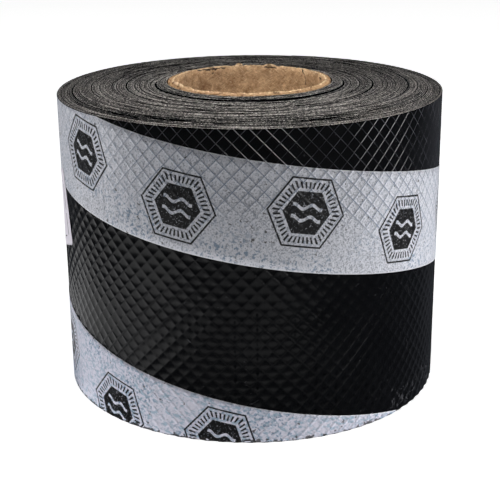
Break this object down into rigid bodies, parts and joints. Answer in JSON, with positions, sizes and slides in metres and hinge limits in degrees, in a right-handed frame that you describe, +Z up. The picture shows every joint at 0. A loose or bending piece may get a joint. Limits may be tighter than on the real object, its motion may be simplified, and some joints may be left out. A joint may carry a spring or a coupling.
{
  "type": "roll of damp proof course",
  "caption": "Upright roll of black embossed plastic damp proof course on a cardboard core, with a white printed tape wound round it and a paper label.",
  "frame": {"origin": "on the roll's axis, in the plane of its underside, where it stands", "axes": "+Z up along the roll's axis, -Y the front that the picture shows, +X to its right"},
  "size_m": [0.1948, 0.1942, 0.1533],
  "materials": {
    "black_polyethylene": "embossed, satin black",
    "brown_cardboard": "bare spiral-wound board with a torn cut lip",
    "printed_film": null,
    "label_paper": null
  },
  "bodies": {
    "root": {"dpc_roll": "black_polyethylene", "cardboard_core": "brown_cardboard", "printed_tape": "printed_film", "paper_label": "label_paper"}
  },
  "joints": []
}
